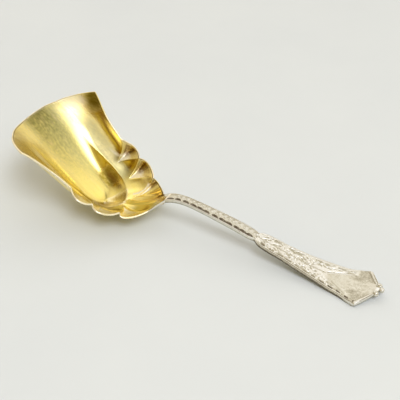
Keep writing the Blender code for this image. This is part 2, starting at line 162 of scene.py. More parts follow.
def round_section(s, q):
    """One smooth arc floor - crest - rim; q is 0, 1 and 2 at the rails."""
    rail = rails(s)
    out = np.zeros(s.shape + (3,))
    for i in range(3):
        f0, f1, f2 = (r[..., i] for r in rail)
        bend = f2 - 2 * f1 + f0
        if i == 1:
            m0, m1 = 0 * f0, 1.2 * bend
        else:
            m1 = (6 * bend - 3 * (f1 - f0)) / 4.5
            m0 = (6 * (f1 - f0) - m1) / 2
        d, e = q, 1 - q
        inner = (m0 * e ** 3 + m1 * d ** 3) / 6 + (f0 - m0 / 6) * e + (f1 - m1 / 6) * d
        d, e = q - 1, 2 - q
        outer = (m1 * e ** 3 + m1 * d ** 3) / 6 + (f1 - m1 / 6) * e + (f2 - m1 / 6) * d
        out[..., i] = np.where(q <= 1, inner, outer)
    return out


def creased_section(s, q):
    """Straight runs floor - crest - rim, which meet in a crease at the crest."""
    floor, crest, rim = rails(s)
    t, u = np.clip(q, 0, 1)[..., None], np.clip(q - 1, 0, 1)[..., None]
    return np.where(q[..., None] <= 1, floor + (crest - floor) * t, crest + (rim - crest) * u)


def hermite(t, f0, f1, m0, m1):
    return (f0 * (1 + 2 * t) * (1 - t) ** 2 + f1 * t * t * (3 - 2 * t)
            + m0 * t * (1 - t) ** 2 - m1 * t * t * (1 - t))


def plan_rate(section, s, q):
    """How far a section moves in plan, per unit of q: along and across."""
    e = 1e-3
    lo, hi = np.maximum(q - e, 0), np.minimum(q + e, 2)
    return ((section(s, hi) - section(s, lo)) / (hi - lo)[..., None])[..., :2]


def section_height(s, q, m):
    """Rise of the sheet along a section, from floor to crest to rim."""
    floor, crest, rim = rails(s)
    power = rise_curve[0](s)
    over, top = (np.tan(np.radians(c(s))) for c in rise_curve[1:])
    edge = plan_rate(round_section, s, 2 * np.ones_like(s))
    deep = crest[..., 2] - floor[..., 2]
    wide = np.linalg.norm((rim - crest)[..., :2], axis=-1)
    m_out = (1 - m) * power * deep + m * over * wide
    m_rim = (1 - m) * (top * edge[..., 1] + 0.05 * edge[..., 0]) + m * top * wide
    return np.where(q <= 1, floor[..., 2] + deep * np.clip(q, 0, 1) ** power,
                    hermite(np.clip(q - 1, 0, 1), crest[..., 2], rim[..., 2], m_out, m_rim))


def stand_out(u):
    """Swell of the wall between crest (0) and rim (1), turning up near the rim."""
    k, r = WALL_BEND, 0.14
    d = u - k
    turn_up = np.where(d > r, d, np.where(d > -r, (d + r) ** 2 / (4 * r), 0))
    return (u / k) ** 1.6 - (1 / k) ** 1.6 / (1 - k) * turn_up


def bowl_surface(s, q):
    """Inner face of the bowl and the direction out of its back."""
    eps = 2e-3
    s0, s1 = np.maximum(s - eps, 0), np.minimum(s + eps, AXIS_STATION)
    q0, q1 = np.maximum(q - eps, 0), np.minimum(q + eps, 2)
    ds = round_section(s1, q) - round_section(s0, q)
    dq = round_section(s, q1) - round_section(s, q0)
    out = np.cross(ds, dq)
    out /= np.maximum(np.linalg.norm(out, axis=-1, keepdims=True), 1e-12)
    out *= -np.sign(out[..., 2:3] + 1e-12)

    m = ramp(s, CREASE[0], CREASE[1])
    p = (1 - m)[..., None] * round_section(s, q) + m[..., None] * creased_section(s, q)
    p[..., 2] = section_height(s, q, m)
    tau = np.clip(q - 1, 0, 1)
    p[..., 1] += wall_curve(s) * stand_out(tau)
    for first, last, apex, low, bulge in LOBES:
        x = np.clip((tau - low) / (1 - low), 0, 1)
        flare = x ** LOBE_FLARE
        mid = apex + flare * ((first + last) / 2 - apex)
        fan = np.maximum(flare * (last - first) / 2, 1e-6)
        w = np.clip(1 - ((s - mid) / fan) ** 2, 0, 1) ** 0.72 * (x > 0)
        p = p + (x * w)[..., None] * np.array(bulge)
    front = 1 - ramp(s, 0, 0.7)
    lip = np.clip((q - 0.2) / 1.8, 0, 1)
    p[..., 0] += LIP_SWELL * np.sin(np.pi * lip) ** 2 * front
    lip = np.clip((q - 1.2) / 0.8, 0, 1)
    p[..., 0] += 3.6 * lip * (1 - lip) ** 0.7 * front
    p[..., 2] += 1.2 * lip * (1 - lip) ** 0.7 * front
    p[..., 2] -= LIP_FLARE * (np.clip(1 - s / 0.22, 0, 1) ** 2 - 0.5 * front)
    return p, out


def turn(v):
    """A direction in the bowl's own frame, in the scoop's frame."""
    t = math.radians(BOWL_TILT)
    a, b, n = v[..., 0], v[..., 1], v[..., 2]
    return np.stack([-a * math.cos(t) + n * math.sin(t), b,
                     a * math.sin(t) + n * math.cos(t)], -1)


def to_world(p):
    return turn(p) + np.array([BOWL_X + X_CENTRE, 0.0, BOWL_Z])


def unit(v):
    return v / np.maximum(np.linalg.norm(v, axis=-1, keepdims=True), 1e-12)


def build(name, verts, faces, node, mat, fields=None):
    """One smooth piece from points in millimetres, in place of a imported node."""
    mesh = bpy.data.meshes.new(name)
    mesh.from_pydata((np.asarray(verts, float) * MM).tolist(), [], faces)
    mesh.validate()
    mesh.shade_smooth()
    for key, values in (fields or {}).items():
        values = np.asarray(values, np.float32)
        if values.ndim == 1:
            a = mesh.attributes.new(key, "FLOAT", "POINT")
            a.data.foreach_set("value", values)
        else:
            a = mesh.attributes.new(key, "FLOAT_VECTOR", "POINT")
            a.data.foreach_set("vector", values.ravel())
    mesh.materials.append(mat)
    mesh.update()
    obj = bpy.data.objects.new(name, mesh)
    bpy.context.scene.collection.objects.link(obj)
    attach(obj, "root")
    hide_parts(node)
    return obj


# ------------------------------------------------------------------ the bowl
def make_bowl(mat):
    stations = np.concatenate([
        np.linspace(0, 1, 57)[:-1], np.linspace(1, 2, 53)[:-1],
        np.linspace(2, 3, 53)[:-1], np.linspace(3, LOBE_END, 53)[:-1],
        np.linspace(LOBE_END, SEAM_STATION, 9)[:-1],
        np.linspace(SEAM_STATION, AXIS_STATION, 9)])
    across = np.concatenate([np.linspace(0.04, 1, 31)[:-1], np.linspace(1, 2, 49)])
    s, q = np.meshgrid(stations, across, indexing="ij")
    edge = SHEET / 2
    # the sheet's face stops short of the rim and the lip by the edge's radius
    e = 1e-3
    rim_rate = np.linalg.norm(bowl_surface(stations, 0 * stations + 2)[0]
                              - bowl_surface(stations, 0 * stations + 2 - e)[0], axis=-1) / e
    lip_rate = np.linalg.norm(bowl_surface(0 * across + e, across)[0]
                              - bowl_surface(0 * across, across)[0], axis=-1) / e
    free = 1 - ramp(stations, 3.86, 3.95)           # no round edge on the seam
    q_cut = edge / rim_rate * free
    q = q - (q_cut[:, None] * np.clip((q - 1.6) / 0.4, 0, 1) ** 2)
    s_cut = edge / lip_rate
    s = s + s_cut[None, :] * np.clip(1 - s / 0.2, 0, 1) ** 2
    inner, out = bowl_surface(s, q)
    # soften the ridges as hand finishing does
    work = ramp(s, 0.85, 1.15) * (1 - ramp(s, 3.84, 3.92)) * ramp(q, 0.9, 1.0)
    for _ in range(2):
        soft = inner.copy()
        soft[1:-1] = 0.5 * inner[1:-1] + 0.25 * (inner[2:] + inner[:-2])
        inner += (soft - inner) * work[..., None]
    for _ in range(2):
        soft = inner.copy()
        soft[:, 1:-1] = 0.5 * inner[:, 1:-1] + 0.25 * (inner[:, 2:] + inner[:, :-2])
        inner += (soft - inner) * (ramp(s, 0.7, 1.0) * (1 - ramp(s, 4.0, 4.2)))[..., None]
    last = ramp(s, 2.72, 2.95) * (1 - ramp(s, 3.05, 3.28)) * ramp(q, 1.0, 1.15) * (1 - ramp(q, 1.75, 1.95))
    for _ in range(120):
        soft = inner.copy()
        soft[1:-1] = 0.5 * inner[1:-1] + 0.25 * (inner[2:] + inner[:-2])
        inner += (soft - inner) * last[..., None]
    ns, nq = s.shape
    inner_w, out_w = to_world(inner), turn(out)
    # in-surface direction across the free edge
    t_rim = unit(inner_w[:, -1] - inner_w[:, -2])
    t_lip = unit(inner_w[0] - inner_w[1])
    along = np.zeros_like(inner_w[..., :1])[..., 0]
    along[1:] = np.cumsum(np.linalg.norm(np.diff(inner_w, axis=0), axis=-1), axis=0)
    wide = np.zeros_like(along)
    wide[:, 1:] = np.cumsum(np.linalg.norm(np.diff(inner_w, axis=1), axis=-1), axis=1)

    spread = np.clip(np.abs(inner[..., 1]) - 3, 0, 6)
    bare = 0.8 * ramp(-inner[..., 0], -4.5, -3.5) * ramp(inner[..., 2] + 0.35 * spread, 3.4, 5.4)
    # painted dark reflection over some browning in the flutes below the rim and at the far mouth corner; painted
    # shade in the last flute and in the angle at the heel
    browning_and_shade = ramp(s, 1.02, 1.3) * (1 - ramp(s, 3.6, 3.85)) * ramp(q, 1.42, 1.80) * (1 - 0.5 * ramp(q, 1.88, 2.0))
    browning_and_shade = np.maximum(browning_and_shade, 0.9 * ramp(-inner[..., 0], -9.0, -3.0) * ramp(q, 1.3, 1.6))
    browning_and_shade = np.maximum(browning_and_shade, 2.4 * ramp(q + 0.55 * np.minimum(s, 0.5), 1.60, 2.00) * (1 - ramp(s, 0.15, 0.60)))
    browning_and_shade = np.maximum(browning_and_shade, 2.3 * np.exp(-((s - 3.25) / 0.09) ** 2) * ramp(q, 1.79, 1.87))
    shade = 0.6 * ramp(s, 3.22, 3.45) * ramp(q, 1.12, 1.4)
    # and painted shade at the back of the trough, below the crest
    shade = np.maximum(shade, 1.85 * ramp(s, 0.85, 1.35) * (1 - ramp(s, 1.9, 2.5)) * ramp(q, 0.38, 0.70)
                       * (1 - ramp(q, 0.97, 1.02)))
    # painted greyish reflection on the wall outside the crest
    outer = q - 0.20 * (1 - ramp(s, 0.45, 0.95))
    grey_reflection_mask = ramp(s, 0.25, 0.60) * (1 - ramp(s, 2.0, 2.7)) * ramp(outer, 1.0, 1.07) * (1 - ramp(q, 1.42, 1.7))
    # fans: painted highlights at their points and painted dark reflection towards the rim
    painted_light, painted_dark, fans = np.zeros_like(s), np.zeros_like(s), np.zeros_like(s)
    tau = np.clip(q - 1, 0, 1)
    for first, end, apex, low, _ in LOBES:
        x = np.clip((tau - low) / (1 - low), 0, 1)
        flare = x ** LOBE_FLARE
        r = (s - apex - flare * ((first + end) / 2 - apex)) / np.maximum(flare * (end - first) / 2, 1e-6)
        fan = (x > 0) * (1 - ramp(np.abs(r), 0.90, 1.05))
        fans += 0.75 * fan * (1 - 0.5 * ramp(x, 0.5, 1.0))
        if first < 3:
            painted_light += fan * (1 - ramp(x, 0.35, 0.85)) * ramp(r, -0.75, -0.15)
            painted_light += 0.2 * fan * ramp(r, 0.35, 0.6) * (1 - ramp(x, 0.5, 0.8))
            painted_dark += 0.40 * fan * ramp(r, 0.25, 0.50) * ramp(x, 0.50, 0.75)
            painted_dark += fan * ramp(x, 0.40, 0.62) * (1 - ramp(x, 0.88, 0.98)) * (1 - ramp(r, 0.10, 0.60)) * ramp(r, -0.95, -0.6)
        else:
            painted_light += fan * ramp(r, -0.80, -0.55) * (1 - ramp(r, -0.30, 0.0)) * (1 - ramp(x, 0.60, 0.82))
            painted_dark += fan * (1 - ramp(r, -0.35, -0.05)) * ramp(x, 0.62, 0.80)
            painted_dark += np.exp(-((s - 3.25) / 0.075) ** 2) * ramp(q, 1.79, 1.85)
    # a painted shade line in the trough, close under the crest
    painted_dark += 0.8 * ramp(s, 1.15, 1.7) * (1 - ramp(s, 2.45, 2.9)) * ramp(q, 0.74, 0.84) * (1 - ramp(q, 0.88, 0.95))
    # painted light, paler at the end of the trough and all over the flutes of one side
    deep_end = ramp(s, 2.75, 3.05) * ramp(q, 0.05, 0.30) * (1 - ramp(q, 1.02, 1.10))
    painted_light += 0.55 * deep_end
    # painted highlight streaks up two of the flutes, and a painted highlight at the lip
    middle = np.interp(q, [1.26, 1.46, 1.60, 1.68, 1.78, 1.86], [3.38, 3.41, 3.38, 3.33, 3.21, 3.11])
    streak = np.exp(-((s - middle) / 0.07) ** 2) * ramp(q, 1.20, 1.32) * (1 - ramp(q, 1.80, 1.86))
    painted_light += 1.0 * streak
    painted_light += 0.9 * np.exp(-((s - 2.55) / 0.07) ** 2) * ramp(q, 1.55, 1.65) * (1 - ramp(q, 1.74, 1.84))
    streak = np.exp(-((s - 1.12 - 1.6 * (q - 1.48)) / 0.10) ** 2) * ramp(q, 1.38, 1.46) * (1 - ramp(q, 1.74, 1.82))
    painted_light += 0.8 * streak
    painted_light += 0.4 * (1 - ramp(s, 0.08, 0.30)) * ramp(q, 1.15, 1.40) * (1 - ramp(q, 1.66, 1.82))
    # painted dark reflection on the wall just outside the crest, near the front
    painted_dark += 0.28 * ramp(s, 0.70, 0.90) * (1 - ramp(s, 1.15, 1.40)) * ramp(q, 1.03, 1.10) * (1 - ramp(q, 1.28, 1.42))
    # painted light on the trough and flutes of the near side
    fans = fans + 0.50 * ramp(s, 1.15, 1.5) * (1 - ramp(s, 2.9, 3.3)) * ramp(q, 0.55, 0.85)
    fans = np.maximum(fans, 0.85 * np.maximum(deep_end, ramp(s, 1.7, 2.2) * ramp(q, 0.30, 0.55) * (1 - ramp(q, 1.0, 1.15))))
    fans = np.maximum(fans, 0.65 * ramp(s, 0.2, 0.5) * ramp(q, 0.70, 0.90) * (1 - ramp(q, 1.02, 1.12)))
    kept = 1 - 0.85 * (1 - ramp(s, 0.25, 0.55)) * ramp(q, 1.60, 1.8)
    kept = kept * (1 - 0.9 * ramp(s, 3.05, 3.12) * (1 - ramp(s, 3.34, 3.42)))
    verts, grain, wear, gilding, patina_and_shade, grey_reflection, painted_light_values, painted_dark_values = [], [], [], [], [], [], [], []

    def add(p, side, i, j, g, r):
        r = r * kept[i, j] if side > 0 else r
        verts.append((p[0], 0.0 if i == ns - 1 else side * p[1], p[2]))
        grain.append((g[0], side * g[1], 0.0))
        wear.append(r)
        gilding.append(1 - bare[i, j])
        # painted shade and dark reflection go on the far side; the near side gets little of them
        darkening = max(browning_and_shade[i, j], shade[i, j]) if side > 0 else 0.10 * browning_and_shade[i, j]
        patina_and_shade.append(darkening * (1 - r) * (g[1] < 55))
        grey_reflection.append(grey_reflection_mask[i, j] * (side > 0) * (g[1] < 55))
        painted_light_values.append(min(1.0, painted_light[i, j] if side > 0 else fans[i, j]) * (g[1] < 55))
        painted_dark_values.append(min(1.0, painted_dark[i, j]) * (1 - r) * (g[1] < 55) * (1.0 if side > 0 else 0.12))
        return len(verts) - 1

    skin = {}
    for k in (0, 1):
        face = inner_w + k * SHEET * out_w
        face[..., 2] = np.maximum(face[..., 2], 0.0)
        for side in (1, -1):
            ids = np.zeros((ns, nq), int)
            for i in range(ns):
                for j in range(nq):
                    if i == ns - 1 and side < 0:
                        ids[i, j] = skin[k, 1][i, j]
                    else:
                        rim_near = max(0.0, 1 - (wide[i, -1] - wide[i, j]) / (1.2 + 3.0 * k))
                        lip_near = max(0.0, 1 - along[i, j] / 1.2)
                        ids[i, j] = add(face[i, j], side, i, j,
                                        (along[i, j], wide[i, j] + 60 * k), max(rim_near, lip_near))
            skin[k, side] = ids
    faces = []
    for k in (0, 1):
        for side in (1, -1):
            a = skin[k, side]
            quads = np.stack([a[:-1, :-1], a[1:, :-1], a[1:, 1:], a[:-1, 1:]], -1).reshape(-1, 4)
            if (side > 0) != (k == 0):
                quads = quads[:, ::-1]
            faces += quads.tolist()
        a, b = skin[k, -1][:, 0], skin[k, 1][:, 0]
        quads = np.stack([a[:-1], a[1:], b[1:], b[:-1]], -1)
        faces += (quads if k == 0 else quads[:, ::-1]).tolist()
    # rounded free edge: along the rim, round the mouth corner, along the lip
    angles = np.radians(np.linspace(0, 180, 8)[1:-1])
    r = edge
    for side in (1, -1):
        path = [(i, nq - 1) for i in range(ns - 1, 0, -1)] + [(0, j) for j in range(nq - 1, -1, -1)]
        rows = []
        for i, j in path:
            if j == nq - 1 and i > 0:
                t, f = t_rim[i], free[i]
            elif j == nq - 1:
                t, f = unit(t_rim[0] + t_lip[j]), 1.0
            else:
                t, f = t_lip[j], 1.0
            o = out_w[i, j]
            centre = inner_w[i, j] + r * o
            row = [skin[0, side][i, j]]
            for a in angles:
                p = centre + r * (-math.cos(a) * o + f * math.sin(a) * t)
                if i == ns - 1 and side < 0:
                    row.append(None)
                else:
                    row.append(add(p, side, i, j, (along[i, j], wide[i, j] + 30), 1.0))
            row.append(skin[1, side][i, j])
            rows.append(row)
        if side > 0:
            centre_row = rows[0]
            lip_right = rows[-1]
        else:
            rows[0] = centre_row
            lip_left = rows[-1]
        for m in range(len(rows) - 1):
            for n in range(len(rows[0]) - 1):
                f = [rows[m][n], rows[m][n + 1], rows[m + 1][n + 1], rows[m + 1][n]]
                faces.append(f if side < 0 else f[::-1])
    for n in range(len(lip_right) - 1):
        faces.append([lip_left[n], lip_left[n + 1], lip_right[n + 1], lip_right[n]][::-1])
    obj = build("scoop_bowl", verts, faces, "bowl", mat,
                {"grain": grain, "wear": wear, "gilding": gilding, "patina_and_shade": patina_and_shade, "grey_reflection": grey_reflection,
                 "painted_light": painted_light_values, "painted_dark": painted_dark_values})
    return obj


# ---------------------------------------------------------------- the handle
stem_w, blade_w, end_w = spline(STEM_W), spline(BLADE_W), spline(END_W)
top_z, thick = spline(TOP_Z), spline(THICK)


def belly(x):
    """How far the rounded back stands below the edges."""
    return np.interp(x, [p[0] for p in BELLY], [p[1] for p in BELLY])


def half_width(x):
    x = np.asarray(x, float)
    return np.where(x < 27.8, stem_w(x), np.where(x < 88.2, blade_w(x), end_w(x)))


def bottom_z(x):
    z = top_z(x) - thick(x)
    return np.where((x >= FLAT_FROM) & (x <= FLAT_TO), 0.0, np.maximum(z, 0.0))


def heel_underside():
    """Lowest back face of the bowl over a point (x, y) near the heel."""
    s, q = np.meshgrid(np.linspace(3.6, AXIS_STATION, 50), np.linspace(1.02, 2, 160),
                       indexing="ij")
    inner, out = bowl_surface(s, q)
    pts = to_world(inner + SHEET * out).reshape(-1, 3)

    def lowest(x, y):
        near = np.hypot(pts[:, 0] - x, pts[:, 1] - abs(y)) < 0.35
        return float(pts[near, 2].min())
    return lowest


class Chasing:
    """Ornament struck into the handle's top: leaf work in low relief on a sunk
    ground, drawn as domed strokes on the grid of the top face."""

    def __init__(self, xs, y, w):
        self.xs, self.y, self.w = xs, y, w
        self.x = np.repeat(xs[:, None], y.shape[1], axis=1)
        self.rise = np.zeros_like(y)

    def stroke(self, pts, half, high=1.0, vein=0.0):
        """A ridge along the points, half as wide as given at each of them."""
        pts, half = np.asarray(pts, float), np.asarray(half, float)
        reach = half.max()
        lo = np.searchsorted(self.xs, pts[:, 0].min() - reach)
        hi = np.searchsorted(self.xs, pts[:, 0].max() + reach)
        if hi <= lo:
            return
        x, y = self.x[lo:hi], self.y[lo:hi]
        best = np.zeros_like(x)
        for p, q, a, b in zip(pts[:-1], pts[1:], half[:-1], half[1:]):
            d = q - p
            f = np.clip(((x - p[0]) * d[0] + (y - p[1]) * d[1]) / max(d @ d, 1e-9), 0, 1)
            r = np.hypot(x - p[0] - f * d[0], y - p[1] - f * d[1])
            w = np.maximum(a + f * (b - a), 1e-3)
            dome = np.sqrt(np.clip(1 - (r / w) ** 2, 0, 1))
            if vein:
                dome = dome * (1 - vein * np.exp(-(r / (0.22 * w)) ** 2))
            best = np.maximum(best, dome)
        self.rise[lo:hi] = np.maximum(self.rise[lo:hi], high * best)

    def leaf(self, x, y, angle, length, width, curl=0.0, high=1.0, vein=0.3):
        f = np.linspace(0, 1, 11)
        a = np.radians(angle + curl * f)
        step = length / 10
        px = x + np.concatenate([[0], np.cumsum(np.cos(a[:-1]) * step)])
        py = y + np.concatenate([[0], np.cumsum(np.sin(a[:-1]) * step)])
        half = width * np.sin(np.pi * np.clip(f, 0.06, 0.985) ** 0.8) ** 0.8
        self.stroke(np.stack([px, py], -1), half, high, vein)

    def scroll(self, x, y, radius, start, way, turns=1.35, width=0.5):
        f = np.linspace(0, 1, 34)
        a = np.radians(start) + way * 2 * np.pi * turns * f
        r = radius * (1 - f) ** 0.75
        self.stroke(np.stack([x + r * np.cos(a), y + r * np.sin(a)], -1),
                    width * (1 - 0.45 * f), 0.95)
        self.stroke([(x - 0.01, y), (x + 0.01, y)], [1.15 * width] * 2)

    def spray(self, x, y, angle, length, width, curl, side):
        """A leaf with three small ones along each edge."""
        self.leaf(x, y, angle, length, width, curl, 1.0, 0.45)
        for f, share in ((0.12, 0.55), (0.34, 0.50), (0.56, 0.38)):
            a = math.radians(angle + curl * f / 2)
            bx, by = x + length * f * math.cos(a), y + length * f * math.sin(a)
            for turn_to in (44, -44):
                self.leaf(bx, by, angle + curl * f + turn_to, share * length, 0.62 * width,
                          -0.5 * turn_to, 0.92, 0.3)

    def panel(self):
        """Plain pointed panel near the end, with the fillet round it."""
        s = np.abs(self.y)
        half = np.where(self.x < 84.5, 7.9 * np.clip((self.x - 70.2) / 14.3, 0, 1) ** 0.86,
                        7.9 * np.clip((95.2 - self.x) / 10.7, 0, 1) ** 0.80)
        return half - s


def chased_top(xs, y, w):
    """Height of the handle's top over its plain face, in millimetres, and how
    dark each point is made, from 0 on the ridges to 1: tarnish deep in the ornament, stains, and painted shade
    along one side."""
    work = Chasing(xs, y, w)
    wide = np.repeat(w[:, None], y.shape[1], axis=1)
    d = wide - np.abs(y)
    border = np.clip(0.26 * wide - 0.42, 0.40, 1.30)
    e = d / border
    field = lambda x: float(half_width(x)) * 0.87 - 0.22
    # stem: a rib of small leaves between two channels
    k, q = 0, -24.0
    while q < 27.0:
        f = field(q)
        for side in (1, -1):
            work.leaf(q + 0.9 * (side > 0), 0.0, 40 * side, 0.62 * f, 0.42, -24 * side, 1.0, 0.4)
            work.leaf(q + 1.0, 0.42 * f * side, (152 if k % 2 else 30) * side, 0.45 * f + 0.8, 0.38, 20 * side, 0.9)
        k, q = k + 1, q + 1.67
    # shoulder: a palmette where the stem widens
    for angle, length in ((0, 6.4), (22, 5.6), (-22, 5.6), (46, 4.4), (-46, 4.4), (76, 3.2), (-76, 3.2)):
        work.leaf(28.6, 0.02 * angle, angle, length, 0.70, -0.35 * angle)
    # blade: small leaves all over, lying along a waving flow
    row, q = 0, 31.0
    while q < 73.0:
        f = field(q)
        count = int(f / 1.05) + 1
        for j in range(count):
            g = (j + 0.5 * (row % 2) + 0.25) / count * 2 - 1
            shake = math.sin(12.9898 * row + 78.233 * j) * 43758.5453
            shake = shake - math.floor(shake) - 0.5
            other = math.sin(39.425 * row + 11.135 * j) * 24634.6345
            other = other - math.floor(other) - 0.5
            work.leaf(q + 1.4 * shake, g * f + 0.9 * other, 55 * math.sin(0.42 * q + 2.1 * g) + 150 * shake,
                      2.5 + 1.3 * other, 0.52 + 0.20 * shake, 60 * other, 0.85 + 0.3 * abs(shake))
        row, q = row + 1, q + 2.2
    # over them, scrolls turned to either side in turn with sprays between
    for k, (q, size) in enumerate(((36.6, 0.36), (43.4, 0.36), (50.8, 0.36), (58.6, 0.35), (66.4, 0.34))):
        side, f = 1 if k % 2 else -1, field(q)
        r = size * f
        work.scroll(q, 0.38 * side * f, r, 180 + 40 * side, side, 1.5, 0.34 + 0.03 * f)
        work.leaf(q - 1.1 * r, -0.15 * side * f, -30 * side, 1.0 * f + 1.4, 0.10 * f + 0.30, 34 * side, 1.0, 0.4)
        work.leaf(q + 0.9 * r, 0.05 * side * f, 20 * side, 0.8 * f + 0.8, 0.09 * f + 0.28, 30 * side, 1.0, 0.4)
        for angle in (10, 45, 80, 115, 150):
            a = math.radians(angle)
            work.leaf(q + 1.1 * r * math.cos(a), side * (0.38 * f + 1.05 * r * math.sin(a)),
                      side * (angle + 14), 0.22 * f + 0.9, 0.06 * f + 0.28, side * 34, 1.0)
    # leaves that hold the panel, and small ones outside it
    for side in (1, -1):
        work.leaf(63.0, 0.8 * side, 8 * side, 10.0, 0.95, 14 * side, 1.0, 0.5)
        work.leaf(69.0, 2.6 * side, 24 * side, 12.0, 0.80, -2 * side, 1.0, 0.4)
        work.leaf(68.0, 4.6 * side, 30 * side, 6.5, 0.72, -14 * side)
        for q, y0, angle, length in ((73.5, 6.6, 34, 3.2), (75.6, 6.9, 8, 4.4), (78.6, 8.7, 36, 2.8),
                                     (80.2, 8.6, 10, 4.2), (83.6, 10.0, 40, 2.8), (85.4, 9.8, 8, 3.6),
                                     (87.4, 10.6, 52, 2.6), (89.2, 9.2, 100, 3.2), (90.6, 7.6, 60, 3.0),
                                     (91.6, 6.6, 112, 3.2), (93.2, 5.0, 62, 2.6), (94.2, 3.9, 112, 2.8)):
            work.leaf(q, y0 * side, angle * side, length, 0.60, 14 * side, 0.9)
    rise = work.rise
    # stippled ground
    cell = 0.80
    gx, gy = work.x / cell, y / cell
    row = np.floor(gx)
    gy = gy + 0.5 * (row % 2)
    dot = np.hypot(gx - row - 0.5, gy - np.floor(gy) - 0.5)
    stipple = np.clip(1 - (dot / 0.46) ** 2, 0, 1)
    inside = work.panel()
    plain = ramp(inside, -0.3, 0.5)
    fillet = np.sqrt(np.clip(1 - ((inside + 0.30) / 0.55) ** 2, 0, 1)) * (work.x > 69.5) * (1 - ramp(work.x, 80.0, 84.0))
    rise = np.maximum(rise * (1 - ramp(inside, -0.6, -0.2)), 0.80 * fillet)
    rise = np.maximum(rise, 0.66 * plain)
    rise = np.maximum(rise, 0.25 * stipple * (1 - plain))
    # channels of sunk cells along either side, of uneven lengths
    stem = 1 - ramp(work.x, 26.2, 27.6)

    def row_of_cells(first, last, long, gap):
        run, k = np.zeros_like(xs), 0
        while first < last:
            s = math.sin(7.31 * k + 1.7 * long) * 1543.23
            s = s - math.floor(s) - 0.5
            size = long * (1 + 0.5 * s)
            run = np.maximum(run, np.clip(1.5 * (1 - np.abs((xs - first - size / 2) / (size / 2)) ** 3), 0, 1))
            first, k = first + size + gap * (1 - 0.9 * s), k + 1
        return run[:, None]

    def leaning(first, last, pitch, half, thick_, lean, share):
        """Leaf-shaped cells in a row at a share of the half width, leaning."""
        run, k = np.zeros_like(y), 0
        c, s = math.cos(math.radians(lean)), math.sin(math.radians(lean))
        while first < last:
            n = math.sin(5.17 * k + 2.3 * pitch) * 2741.61
            n = n - math.floor(n) - 0.5
            dx, dy = work.x - first - 0.6 * n, y - share * float(half_width(first)) - 0.25 * n
            u, v = dx * c + dy * s, -dx * s + dy * c
            size = half * (1 + 0.35 * n)
            swell = thick_ * (1 - 0.3 * n) * np.sqrt(np.clip(1 - (u / size) ** 2, 0, 1)) + 1e-6
            run = np.maximum(run, np.clip(1.8 * (1 - np.abs(v / swell) ** 3), 0, 1) * (np.abs(u) < size))
            first, k = first + pitch * (1 - 0.25 * n), k + 1
        return run

    near = ramp(-y, -0.3, 0.3)
    across = np.maximum(leaning(-20.4, 27.0, 4.5, 2.25, 1.30, -13, -0.60),
                        leaning(-25.4, -22.0, 9.0, 2.7, 1.05, -4, -0.56))
    across = np.maximum(across, 0.75 * leaning(-23.6, 27.0, 3.3, 1.25, 0.50, 24, 0.58))
    across = np.maximum(across, 0.55 * leaning(-22.3, 27.0, 2.6, 0.95, 0.42, -34, 0.08))
    across = np.maximum(across, 0.30 * np.clip(1.6 * (1 - np.abs((np.abs(y) / wide - 0.56) / 0.36) ** 4), 0, 1))
    run_blade = row_of_cells(31.5, 90.0, 3.5, 1.7)
    lane = np.clip(1.5 * (1 - np.abs((d - 2.0) / 0.75) ** 3), 0, 1)
    leaf = rise
    cells = stem * across * (1 - 0.30 * leaf)
    cells = cells + (1 - stem) * lane * run_blade * (0.30 + 0.70 * near)
    cells = cells * (1 - plain)
    bare = 0.85 * ramp(work.x, 82.0, 86.5)                  # next to nothing on the end
    rise = np.maximum(rise, 0.25 * stem) * (1 - cells)
    rise = np.maximum(rise * (1 - bare), 0.66 * np.maximum(plain, bare))
    deep = 0.26 + 0.014 * np.clip(wide, 2, 10)
    ground = ramp(e, 1.02, 1.14)
    h = ground * (-deep * (1 - rise + 0.30 * cells) + 0.04 * rise * (1 - plain))
    bead = np.sqrt(np.clip(1 - ((e - 0.84) / 0.16) ** 2, 0, 1))
    groove = np.clip(1.4 * (1 - ((e - 0.44) / 0.30) ** 2), 0, 1)
    step = np.clip(1.4 * (1 - ((e - 1.13) / 0.15) ** 2), 0, 1)
    h = h + (0.05 * bead - 0.16 * groove) * (1 - ground)
    # the ground has darkened with tarnish; the extra dark in the cells and lines along one side is painted shade
    bed = ground * (1 - np.clip(rise * 1.6, 0, 1)) * (0.88 - 0.10 * stem) * (1 - bare)
    pit = cells * (0.65 + near * (0.80 - 0.45 * ramp(work.x, 28, 34) * (1 - ramp(work.x, 66, 72))))
    lines = np.maximum(groove, 0.6 * step) * (0.35 + 0.80 * near) * ramp(work.x, 22, 30)
    lines = np.maximum(lines, 0.8 * groove * (1 - near) * stem * ramp(work.x, -6, 8))
    tarnish_and_shade = np.maximum(np.maximum(bed, pit * ground), lines)
    # painted shade in a strip beside the panel on the same side
    beside = near * ramp(inside, -3.4, -2.6) * ramp(work.x, 68, 73) * (0.46 + 0.16 * stipple)
    tarnish_and_shade = np.maximum(tarnish_and_shade, beside * ground)
    stain = 0.605 + ramp(work.x, 80, 89) * (0.06 + 0.32 * ramp(np.abs(y), 2.0, 7.0))
    return h, np.maximum(tarnish_and_shade * (1 - plain), stain * np.maximum(plain, bare))


